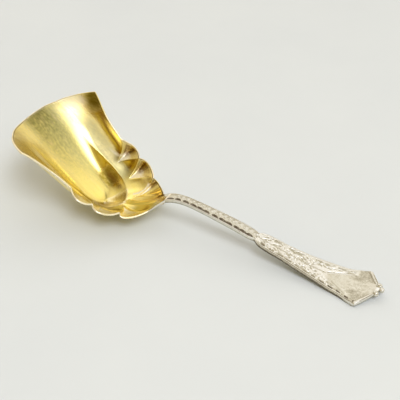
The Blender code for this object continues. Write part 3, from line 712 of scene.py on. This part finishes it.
def make_handle(mat):
    xs = np.concatenate([np.arange(-28.55, 88.2, 0.21), np.linspace(88.2, 99.5, 56)])
    cols = 91
    v = np.linspace(-1, 1, cols)
    v = 0.88 * v + 0.12 * v ** 5                    # finer in the field than at the edges
    arc = np.radians([22.5, 45, 67.5])
    rings, deep = [], []
    w = half_width(xs)
    top, bot, round_back = top_z(xs), bottom_z(xs), belly(xs)
    corner = np.minimum(0.35, 0.2 * w)
    flat = v[None, :] * (w - corner)[:, None]
    height, tarnish_and_shade = chased_top(xs, flat, w)
    quiet = ramp(xs, -28.5, -27.6) * (1 - ramp(xs, 97.0, 98.4))
    height, tarnish_and_shade = height * quiet[:, None], tarnish_and_shade * quiet[:, None]
    for k, x in enumerate(xs):
        c = corner[k]
        wt = w[k] - c
        t = top[k]
        ring = [(x, yy, t + hh) for yy, hh in zip(flat[k], height[k])]
        ring += [(x, wt + c * math.sin(a), t - c + c * math.cos(a)) for a in arc]
        ring += [(x, w[k], t - c), (x, w[k], (t + bot[k]) / 2), (x, w[k], bot[k] + c)]
        ring += [(x, wt + c * math.cos(a), bot[k] + c - c * math.sin(a)) for a in arc]
        ring += [(x, wt * u, bot[k] - round_back[k] * (1 - u * u)) for u in np.linspace(1, -1, 13)]
        ring += [(x, -wt - c * math.cos(a), bot[k] + c - c * math.sin(a)) for a in arc[::-1]]
        ring += [(x, -w[k], bot[k] + c), (x, -w[k], (t + bot[k]) / 2), (x, -w[k], t - c)]
        ring += [(x, -wt - c * math.sin(a), t - c + c * math.cos(a)) for a in arc[::-1]]
        rings.append(ring)
        # painted shade on the side faces, darkest at their lower edge along the blade, and on the rounded back
        b = float(ramp(x, 24.0, 31.0)) * (1 - float(ramp(x, 82.0, 88.0)))
        edge = [0.0, 0.1 + 0.1 * b, 0.2 + 0.3 * b, 0.25 + 0.4 * b, 0.35 + 0.9 * b, 0.9 + 0.6 * b, 1.0 + 0.5 * b,
                1.0 + 0.5 * b, 1.0 + 0.5 * b]
        deep.append(list(tarnish_and_shade[k]) + edge + [0.7] * (len(ring) - cols - 18) + edge[::-1])
    n = len(rings[0])
    verts = [(p[0] + X_CENTRE, p[1], p[2]) for ring in rings for p in ring]
    fields = [h for r in deep for h in r]
    faces = []
    for i in range(len(rings) - 1):
        a, b = i * n, (i + 1) * n
        for j in range(n):
            k = (j + 1) % n
            faces.append([a + j, b + j, b + k, a + k])
    faces.append([(len(rings) - 1) * n + j for j in range(n)])
    # tongue under the heel
    under = heel_underside()
    tongue = []
    m = 20
    for x in np.linspace(TONGUE_TIP, -27.2, 14):
        f = min(1.0, (x - TONGUE_TIP) / (-29.4 - TONGUE_TIP))
        tw = 0.9 + (TONGUE_W - 0.9) * f
        xe = min(x, -29.4)
        tt = min(under(xe + X_CENTRE, 0), under(xe + X_CENTRE, tw)) - 0.35
        tb = tt - (0.7 + 1.4 * f)
        if x > -29.4:
            tb = max(tb, float(bottom_z(-27.2)) + 0.2)
            tt = max(tt, tb + 0.8)
        ring = []
        for a in np.linspace(0, 2 * math.pi, m, endpoint=False):
            ca, sa = math.cos(a), math.sin(a)
            px = abs(ca) ** 0.5 * math.copysign(1, ca)
            pz = abs(sa) ** 0.5 * math.copysign(1, sa)
            ring.append((x + X_CENTRE, tw * px, (tt + tb) / 2 + (tt - tb) / 2 * pz))
        tongue.append(ring)
    base = len(verts)
    verts += [p for ring in tongue for p in ring]
    fields += [0.0] * (len(tongue) * m)
    for i in range(len(tongue) - 1):
        for j in range(m):
            k = (j + 1) % m
            a, b = base + i * m, base + (i + 1) * m
            faces.append([a + j, b + j, b + k, a + k][::-1])
    faces.append([base + j for j in range(m)])
    faces.append([base + (len(tongue) - 1) * m + j for j in range(m)][::-1])
    faces.append([j for j in range(n)][::-1])
    return build("scoop_handle", verts, faces, "handle", mat, {"tarnish_and_shade": fields})


def make_roll(name, side, mat):
    """Round bar along one half of the handle's end, with domed ends."""
    steps = np.arange(len(ROLL_PATH), dtype=float)
    px = spline([(i, p[0]) for i, p in zip(steps, ROLL_PATH)])
    py = spline([(i, p[1]) for i, p in zip(steps, ROLL_PATH)])
    f = np.linspace(0, steps[-1], 49)
    x = px(f)
    c = np.stack([x, side * py(f), top_z(x) - ROLL_SINK], -1)
    tangent = unit(np.gradient(c, axis=0))
    n = 40
    ang = np.linspace(0, 2 * math.pi, n, endpoint=False)
    rings = []

    def ring(p, t, r):
        u = unit(np.cross((0, 0, 1), t))
        w = np.cross(t, u)
        return p + r * (np.cos(ang)[:, None] * u + np.sin(ang)[:, None] * w)

    for a in np.radians([80, 65, 50, 35, 20, 8]):
        rings.append(ring(c[0] - tangent[0] * ROLL_R[0] * 0.8 * math.sin(a), tangent[0],
                          ROLL_R[0] * math.cos(a)))
    for i in range(len(c)):
        g = i / (len(c) - 1)
        rings.append(ring(c[i], tangent[i], ROLL_R[0] + (ROLL_R[1] - ROLL_R[0]) * g))
    for a in np.radians([8, 20, 35, 50, 65, 80]):
        rings.append(ring(c[-1] + tangent[-1] * ROLL_R[1] * 0.6 * math.sin(a), tangent[-1],
                          ROLL_R[1] * math.cos(a)))
    verts = np.concatenate(rings) + np.array([X_CENTRE, 0, 0])
    # darker where it meets the plate, and painted shade underneath
    way = np.cross(unit(c[-1] - c[0]), (0, 0, 1)) * np.array([1, 1, 0])
    way = unit(way * np.sign(way[0]))
    mid = np.repeat([r.mean(axis=0) for r in rings], n, axis=0) + np.array([X_CENTRE, 0, 0])
    off = unit(verts - mid)
    deep = 0.15 + 0.75 * ramp(-(off @ way), -0.25, 0.5) * ramp(off[:, 2], -0.2, 0.9)
    deep = np.maximum(deep, ramp(-off[:, 2], 0.1, 0.8))
    faces = []
    for i in range(len(rings) - 1):
        for j in range(n):
            k = (j + 1) % n
            f4 = [i * n + j, i * n + k, (i + 1) * n + k, (i + 1) * n + j]
            faces.append(f4)
    faces.append(list(range(n))[::-1])
    faces.append([(len(rings) - 1) * n + j for j in range(n)])
    return build(name, verts, faces, name.replace("scoop_", ""), mat, {"tarnish_and_shade": deep})


def make_knob(name, at, radius, mat, kind, way=1):
    """Small turned ornament: a volute with its coil cut in, or a ribbed bud."""
    rings, n = [], 72
    lat = np.radians(np.linspace(-86, 86, 49))
    ang = np.linspace(0, 2 * math.pi, n, endpoint=False)
    centre = np.array([at[0] + X_CENTRE, at[1], at[2]])
    deep = []
    for a in lat:
        if kind == "volute":
            coil = (math.pi / 2 - a) * 1.15 + way * ang / (2 * math.pi)
            cut = np.clip(1 - (((coil % 1.0) - 0.5) / 0.15) ** 2, 0, 1) * float(ramp(a, -0.35, 0.1))
        else:
            cut = np.clip(1 - (np.abs(((ang * 7 / (2 * math.pi)) % 1.0) - 0.5) / 0.16) ** 2, 0, 1)
            cut = cut * float(ramp(abs(a), 1.35, 0.9) if abs(a) > 0.9 else 1.0) * 0.8
            cut = np.maximum(cut, max(0.0, 1 - ((a + 0.45) / 0.10) ** 2))
        r = radius * (1 - 0.085 * cut)
        rings.append(centre + np.stack([r * math.cos(a) * np.cos(ang), r * math.cos(a) * np.sin(ang),
                                        r * math.sin(a)], -1))
        # the cut grooves dark with tarnish, and painted shade over the lower half
        deep.append(np.maximum(cut, 0.30 + 0.70 * float(ramp(-a, -0.5, 0.9))))
    verts, deep = np.concatenate(rings), np.concatenate(deep)
    faces = []
    for i in range(len(rings) - 1):
        for j in range(n):
            k = (j + 1) % n
            faces.append([i * n + j, i * n + k, (i + 1) * n + k, (i + 1) * n + j])
    faces.append(list(range(n))[::-1])
    faces.append([(len(rings) - 1) * n + j for j in range(n)])
    return build(name, verts, faces, name.replace("scoop_", ""), mat, {"tarnish_and_shade": deep})


# ----------------------------------------------------------------- materials
class Tree:
    """Short hand for building a shader."""

    def __init__(self, name):
        self.mat = bpy.data.materials.new(name)
        self.mat.use_nodes = True
        self.nodes, self.links = self.mat.node_tree.nodes, self.mat.node_tree.links
        self.bsdf = self.nodes["Principled BSDF"]

    def add(self, kind, inputs=None, **props):
        node = self.nodes.new(kind)
        for key, value in props.items():
            setattr(node, key, value)
        for key, value in (inputs or {}).items():
            if isinstance(value, bpy.types.NodeSocket):
                self.links.new(value, node.inputs[key])
            else:
                node.inputs[key].default_value = value
        return node

    def to(self, socket, name):
        self.links.new(socket, self.bsdf.inputs[name])

    def scaled(self, vector, factors):
        return self.add("ShaderNodeVectorMath", {0: vector, 1: factors}, operation="MULTIPLY").outputs[0]

    def noise(self, vector, scale, detail, rough):
        return self.add("ShaderNodeTexNoise", {"Vector": vector, "Scale": scale, "Detail": detail,
                                               "Roughness": rough}).outputs["Fac"]

    def math(self, kind, a, b=0.5):
        return self.add("ShaderNodeMath", {0: a, 1: b}, operation=kind).outputs[0]

    def span(self, value, lo, hi, to_lo=0.0, to_hi=1.0):
        """Value from lo..hi to to_lo..to_hi, held at both ends."""
        return self.add("ShaderNodeMapRange", {"Value": value, "From Min": lo, "From Max": hi,
                                               "To Min": to_lo, "To Max": to_hi}).outputs[0]

    def mix(self, factor, a, b):
        node = self.add("ShaderNodeMix", {0: factor, 6: a, 7: b}, data_type="RGBA")
        return node.outputs[2]


def gilt():
    """Fire gilding, brushed along the bowl, thin and pale on the edges, with painted highlights, shade and
    reflections in its colour.
    """
    t = Tree("gilt")
    t.bsdf.inputs["Metallic"].default_value = 1.0
    grain = t.add("ShaderNodeAttribute", attribute_name="grain").outputs["Vector"]
    wear = t.add("ShaderNodeAttribute", attribute_name="wear").outputs["Fac"]
    gilding = t.add("ShaderNodeAttribute", attribute_name="gilding").outputs["Fac"]
    patina_and_shade = t.add("ShaderNodeAttribute", attribute_name="patina_and_shade").outputs["Fac"]
    # fine lengthwise brushing, two widths of it
    fine = t.noise(t.scaled(grain, (0.05, 2.2, 1)), 1.0, 3.0, 0.6)
    broad = t.noise(t.scaled(grain, (0.02, 0.45, 1)), 1.0, 4.0, 0.55)
    cloud = t.noise(t.scaled(grain, (0.10, 0.16, 1)), 1.0, 3.0, 0.5)
    pores = t.noise(t.scaled(grain, (0.9, 0.9, 1)), 1.0, 2.0, 0.5)
    tone = t.mix(t.span(broad, 0.35, 0.70), (0.955, 0.800, 0.285, 1), (0.930, 0.758, 0.215, 1))
    tone = t.mix(t.span(cloud, 0.45, 0.75, 0.0, 0.55), tone, (0.93, 0.765, 0.31, 1))
    tone = t.mix(t.span(pores, 0.66, 0.74, 0.0, 0.35), tone, (0.60, 0.42, 0.10, 1))
    # gilding rubbed thin and grey in streaks towards the lip
    place = t.add("ShaderNodeSeparateXYZ", {0: grain})
    back, side = place.outputs["X"], place.outputs["Y"]
    scratch = t.noise(t.scaled(grain, (0.07, 3.4, 1)), 1.0, 2.0, 0.7)
    mottle = t.noise(t.scaled(grain, (0.35, 0.8, 1)), 1.0, 4.0, 0.75)
    used = t.span(back, 8, 58, 1.0, 0.0)
    inside = t.span(t.math("ABSOLUTE", side), 44, 50, 1.0, 0.0)
    thin = t.math("MULTIPLY", t.math("MULTIPLY", used, inside), t.span(mottle, 0.35, 0.65, 0.15, 0.75))
    tone = t.mix(thin, tone, (0.80, 0.74, 0.42, 1))
    # a dark olive band across the floor is painted dark reflection
    band = t.math("MULTIPLY", t.span(side, -7.5, 0.0), t.span(side, 11.0, 20.0, 1.0, 0.0))
    reflected_band = t.math("MULTIPLY", t.math("MULTIPLY", t.span(back, 8, 62, 1.0, 0.0), band), t.span(mottle, 0.30, 0.62, 0.50, 1.0))
    tone = t.mix(t.math("MULTIPLY", reflected_band, 0.95), tone, (0.20, 0.18, 0.035, 1))
    lines = t.math("MULTIPLY", t.math("MULTIPLY", used, inside), t.span(scratch, 0.58, 0.70))
    tone = t.mix(t.math("MULTIPLY", lines, 0.75), tone, (0.90, 0.66, 0.36, 1))
    lines = t.math("MULTIPLY", t.math("MULTIPLY", used, inside), t.span(scratch, 0.40, 0.30))
    tone = t.mix(t.math("MULTIPLY", lines, 0.70), tone, (0.32, 0.27, 0.08, 1))
    # a browner film on the other side of the mouth
    dusk = t.math("MULTIPLY", t.span(side, -16, -3, 1.0, 0.0), t.span(back, 4, 46, 1.0, 0.0))
    dusk = t.math("MULTIPLY", t.math("MULTIPLY", dusk, inside), t.span(mottle, 0.32, 0.60, 0.35, 1.0))
    tone = t.mix(t.math("MULTIPLY", dusk, 0.60), tone, (0.58, 0.40, 0.10, 1))
    # painted shade and dark reflection over some browning, darkening in three stages
    browning_and_shade = t.math("MULTIPLY", patina_and_shade, t.span(mottle, 0.36, 0.58, 0.50, 1.0))
    tone = t.mix(t.math("MULTIPLY", browning_and_shade, 0.50), tone, (0.42, 0.26, 0.05, 1))
    tone = t.mix(t.math("MULTIPLY", t.span(patina_and_shade, 1.0, 1.6, 0.0, 0.55), t.span(mottle, 0.36, 0.58, 0.55, 1.0)),
                 tone, (0.25, 0.215, 0.01, 1))
    tone = t.mix(t.math("MULTIPLY", t.span(patina_and_shade, 1.65, 2.3, 0.0, 0.90), t.span(mottle, 0.36, 0.58, 0.65, 1.0)),
                 tone, (0.13, 0.085, 0.0, 1))
    # painted greyish reflection on the far wall
    grey_reflection = t.math("MULTIPLY", t.add("ShaderNodeAttribute", attribute_name="grey_reflection").outputs["Fac"],
                  t.span(mottle, 0.30, 0.60, 0.65, 1.0))
    tone = t.mix(t.math("MULTIPLY", grey_reflection, 0.88), tone, (0.49, 0.46, 0.24, 1))
    speck = t.noise(t.scaled(grain, (1.1, 1.3, 1)), 1.0, 3.0, 0.7)
    # painted highlights on the fans, streaks and near-side flutes
    painted_light = t.math("MULTIPLY", t.add("ShaderNodeAttribute", attribute_name="painted_light").outputs["Fac"],
                   t.span(scratch, 0.32, 0.60, 0.45, 1.0))
    tone = t.mix(t.math("MULTIPLY", painted_light, 0.85), tone, (0.98, 0.93, 0.82, 1))
    # painted dark reflection and shade
    painted_dark = t.math("MULTIPLY", t.add("ShaderNodeAttribute", attribute_name="painted_dark").outputs["Fac"],
                  t.span(speck, 0.40, 0.56, 0.30, 1.0))
    tone = t.mix(t.math("MULTIPLY", painted_dark, 0.90), tone, (0.20, 0.095, 0.022, 1))
    worn = t.math("MULTIPLY", t.math("POWER", wear, 2.0), t.span(cloud, 0.30, 0.60, 0.45, 1.0))
    tone = t.mix(worn, tone, (0.98, 0.90, 0.70, 1))
    tone = t.mix(gilding, (0.87, 0.84, 0.75, 1), tone)
    t.to(tone, "Base Color")
    polish = t.span(back, 20, 48, 0.20, 0.09)
    rough = t.math("ADD", t.math("ADD", polish, t.span(cloud, 0.30, 0.70, 0.0, 0.05)),
                   t.span(fine, 0.40, 0.70, 0.0, 0.06))
    rough = t.math("ADD", rough, t.math("MULTIPLY", t.span(patina_and_shade, 0.9, 1.5), 0.24))
    rough = t.math("ADD", rough, t.math("MULTIPLY", grey_reflection, 0.24))
    rough = t.math("ADD", rough, t.math("MULTIPLY", painted_light, 0.32))
    t.to(rough, "Roughness")
    height = t.math("ADD", t.math("MULTIPLY", fine, 0.6), t.math("MULTIPLY", broad, 1.0))
    bump = t.add("ShaderNodeBump", {"Height": height, "Strength": 0.10, "Distance": 0.00025})
    t.to(bump.outputs["Normal"], "Normal")
    return t.mat


def silver():
    """Sterling, rubbed bright on the ridges and dark where the chasing is deep, with painted shade along one side
    and underneath.
    """
    t = Tree("silver")
    t.bsdf.inputs["Metallic"].default_value = 1.0
    at = t.scaled(t.add("ShaderNodeTexCoord").outputs["Object"], (1000.0, 1000.0, 1000.0))
    tarnish_and_shade = t.add("ShaderNodeAttribute", attribute_name="tarnish_and_shade").outputs["Fac"]
    cloud = t.noise(at, 0.16, 4.0, 0.6)
    patch = t.noise(at, 0.55, 4.0, 0.65)
    fine = t.noise(at, 2.6, 3.0, 0.7)
    lines = t.noise(t.scaled(at, (0.25, 3.0, 3.0)), 1.0, 3.0, 0.65)
    along = t.add("ShaderNodeSeparateXYZ", {0: at}).outputs["X"]
    tone = t.mix(t.span(cloud, 0.35, 0.68), (0.925, 0.926, 0.898, 1), (0.895, 0.876, 0.828, 1))
    tone = t.mix(t.span(patch, 0.54, 0.72, 0.0, 0.40), tone, (0.72, 0.67, 0.57, 1))
    # tarnish with painted shade, thickest on the stem
    strength = t.span(along, 20, 60, 0.95, 0.80)
    tarnish_and_shade_amount = t.math("MULTIPLY", t.math("MULTIPLY", t.math("POWER", tarnish_and_shade, 1.10), strength),
                     t.math("MULTIPLY", t.span(patch, 0.30, 0.62, 0.72, 1.0), t.span(fine, 0.35, 0.65, 0.70, 1.15)))
    tone = t.mix(t.span(along, -17.5, -10.5, 0.55, 0.0), tone, (0.78, 0.62, 0.36, 1))
    tone = t.mix(t.span(tarnish_and_shade_amount, 0.0, 0.55, 0.0, 0.85), tone, (0.585, 0.548, 0.405, 1))
    tone = t.mix(t.span(tarnish_and_shade_amount, 0.38, 0.98), tone, (0.135, 0.105, 0.075, 1))
    t.to(tone, "Base Color")
    rough = t.math("ADD", t.math("MULTIPLY", tarnish_and_shade_amount, 0.22),
                   t.math("ADD", t.span(cloud, 0.3, 0.7, 0.23, 0.32), t.span(lines, 0.4, 0.7, 0.0, 0.06)))
    t.to(rough, "Roughness")
    height = t.math("ADD", t.math("MULTIPLY", fine, 0.5), t.math("ADD", t.math("MULTIPLY", lines, 0.5), patch))
    bump = t.add("ShaderNodeBump", {"Height": height, "Strength": 0.25, "Distance": 0.0002})
    t.to(bump.outputs["Normal"], "Normal")
    return t.mat


def floor_material():
    t = Tree("studio_floor")
    at = t.add("ShaderNodeTexCoord").outputs["Object"]
    cloud = t.noise(at, 9.0, 4.0, 0.6)
    t.to(t.mix(t.span(cloud, 0.35, 0.65), (0.608, 0.633, 0.645, 1), (0.626, 0.650, 0.659, 1)), "Base Color")
    t.bsdf.inputs["Roughness"].default_value = 0.9
    return t.mat


# --------------------------------------------------------------------- stage
def make_floor():
    mesh = bpy.data.meshes.new("studio_floor")
    mesh.from_pydata([(-3, -3, -0.0002), (3, -3, -0.0002), (3, 3, -0.0002), (-3, 3, -0.0002)], [], [(0, 1, 2, 3)])
    mesh.materials.append(floor_material())
    obj = bpy.data.objects.new("studio_floor", mesh)
    bpy.context.scene.collection.objects.link(obj)
    return obj


CAM_AZ, CAM_PITCH, FOCAL_PX, CAM_DIST = 28.16, 37.6, 900.0, 0.5431
CAM_TARGET = Vector(((-23.0 + X_CENTRE) * MM, 28.7 * MM, 0.0))


def make_camera():
    az, p = math.radians(CAM_AZ), math.radians(CAM_PITCH)
    back = Vector((math.sin(az) * math.cos(p), -math.cos(az) * math.cos(p), math.sin(p)))
    data = bpy.data.cameras.new("camera")
    data.sensor_fit = "HORIZONTAL"
    data.sensor_width = 36.0
    data.lens = FOCAL_PX / 400.0 * 36.0
    data.clip_start, data.clip_end = 0.01, 20.0
    cam = bpy.data.objects.new("camera", data)
    cam.location = CAM_TARGET + back * CAM_DIST
    cam.rotation_euler = back.to_track_quat("Z", "Y").to_euler()
    bpy.context.scene.collection.objects.link(cam)
    bpy.context.scene.camera = cam


# soft patches of the studio around the scoop: azimuth and height in degrees,
# reach in degrees, and what they add to the plain surround
ROOM = (0.76, 0.70, 0.58)
PATCHES = [(-43, 47, 14, (2.9, 2.9, 3.5)),         # the key's soft box
           (-56, 45, 8, (1.3, 1.4, 1.8)),
           (-70, 63, 8, (0.7, 0.8, 1.1)),
           (-24, 60, 14, (0.8, 0.8, 0.8)),
           (-43, 48, 24, (0.35, 0.36, 0.42)),      # and its halo
           (2, 49, 36, (0.34, 0.40, 0.48)),        # wash beside it
           (60, 53, 10, (-0.34, -0.32, -0.31)),    # gap behind, over the sweep
           (47, 40, 15, (0.33, 0.34, 0.33)),       # and a paler part of it
           (-4, 62, 13, (-0.40, -0.38, -0.29)),    # gap beside the soft box
           (66, 22, 30, (0.30, 0.28, 0.20)),       # sweep behind the bowl
           (100, 47, 22, (0.42, 0.43, 0.48)),
           (138, 36, 34, (0.42, 0.42, 0.46)),      # light wall to the left
           (150, 66, 30, (0.20, 0.20, 0.18)),      # and ceiling
           (-85, 26, 9, (0.24, 0.20, 0.10)),
           (-92, 30, 44, (-0.12, -0.20, -0.46)),   # warm room on the camera's side
           (-88, 44, 22, (-0.28, -0.25, -0.10)),
           (-82, 55, 14, (-0.22, -0.18, -0.04)),
           (-118, 46, 26, (-0.26, -0.26, -0.22)),  # and left of the camera
           (-150, 38, 22, (-0.16, -0.18, -0.22)),
           (-176, 22, 20, (-0.34, -0.34, -0.32)),
           (-100, 3, 36, (-0.50, -0.46, -0.38))]   # dark below the table's edge
KEY_COLOUR, KEY_POWER, KEY_SIZE, KEY_FAR = (0.93, 0.97, 1.0), 46.0, 1.35, 3.2


def make_light():
    towards = Vector((0.5, -0.47, 1.0)).normalized()
    data = bpy.data.lights.new("key", "AREA")
    data.shape = "DISK"
    data.size = KEY_SIZE
    data.energy = KEY_POWER
    data.color = KEY_COLOUR
    lamp = bpy.data.objects.new("key", data)
    lamp.location = towards * KEY_FAR
    lamp.rotation_euler = towards.to_track_quat("Z", "Y").to_euler()
    lamp.visible_glossy = False           # metal shows the soft box instead
    bpy.context.scene.collection.objects.link(lamp)
    world = bpy.data.worlds.new("studio")
    world.use_nodes = True
    nodes, links = world.node_tree.nodes, world.node_tree.links
    ray = nodes.new("ShaderNodeTexCoord").outputs["Generated"]
    total = None
    for azimuth, height, reach, colour in PATCHES:
        a, h = math.radians(azimuth), math.radians(height)
        dot = nodes.new("ShaderNodeVectorMath")
        dot.operation = "DOT_PRODUCT"
        links.new(ray, dot.inputs[0])
        dot.inputs[1].default_value = (math.cos(h) * math.cos(a), math.cos(h) * math.sin(a), math.sin(h))
        fall = nodes.new("ShaderNodeMapRange")
        fall.interpolation_type = "SMOOTHERSTEP"
        links.new(dot.outputs["Value"], fall.inputs["Value"])
        fall.inputs["From Min"].default_value = math.cos(math.radians(reach))
        fall.inputs["From Max"].default_value = 1.0
        scaled = nodes.new("ShaderNodeVectorMath")
        scaled.operation = "MULTIPLY_ADD"
        scaled.inputs[0].default_value = colour
        links.new(fall.outputs["Result"], scaled.inputs[1])
        if total is None:
            scaled.inputs[2].default_value = ROOM
        else:
            links.new(total, scaled.inputs[2])
        total = scaled.outputs[0]
    floor = nodes.new("ShaderNodeVectorMath")
    floor.operation = "MAXIMUM"
    links.new(total, floor.inputs[0])
    floor.inputs[1].default_value = (0.09, 0.06, 0.015)
    bg = nodes["Background"]
    links.new(floor.outputs[0], bg.inputs["Color"])
    bg.inputs["Strength"].default_value = 1.0
    bpy.context.scene.world = world


gold, plate = gilt(), silver()
make_bowl(gold)
make_handle(plate)
make_roll("scoop_end_roll_left", 1, plate)
make_roll("scoop_end_roll_right", -1, plate)
make_knob("scoop_volute_left", VOLUTE_AT, VOLUTE_R, plate, "volute")
make_knob("scoop_volute_right", (VOLUTE_AT[0], -VOLUTE_AT[1], VOLUTE_AT[2]), VOLUTE_R, plate, "volute", -1)
make_knob("scoop_tip_bead", TIP_AT, TIP_R, plate, "bud")
make_floor()
make_camera()
make_light()
bpy.context.scene.view_settings.view_transform = "Standard"
bpy.context.scene.view_settings.look = "None"
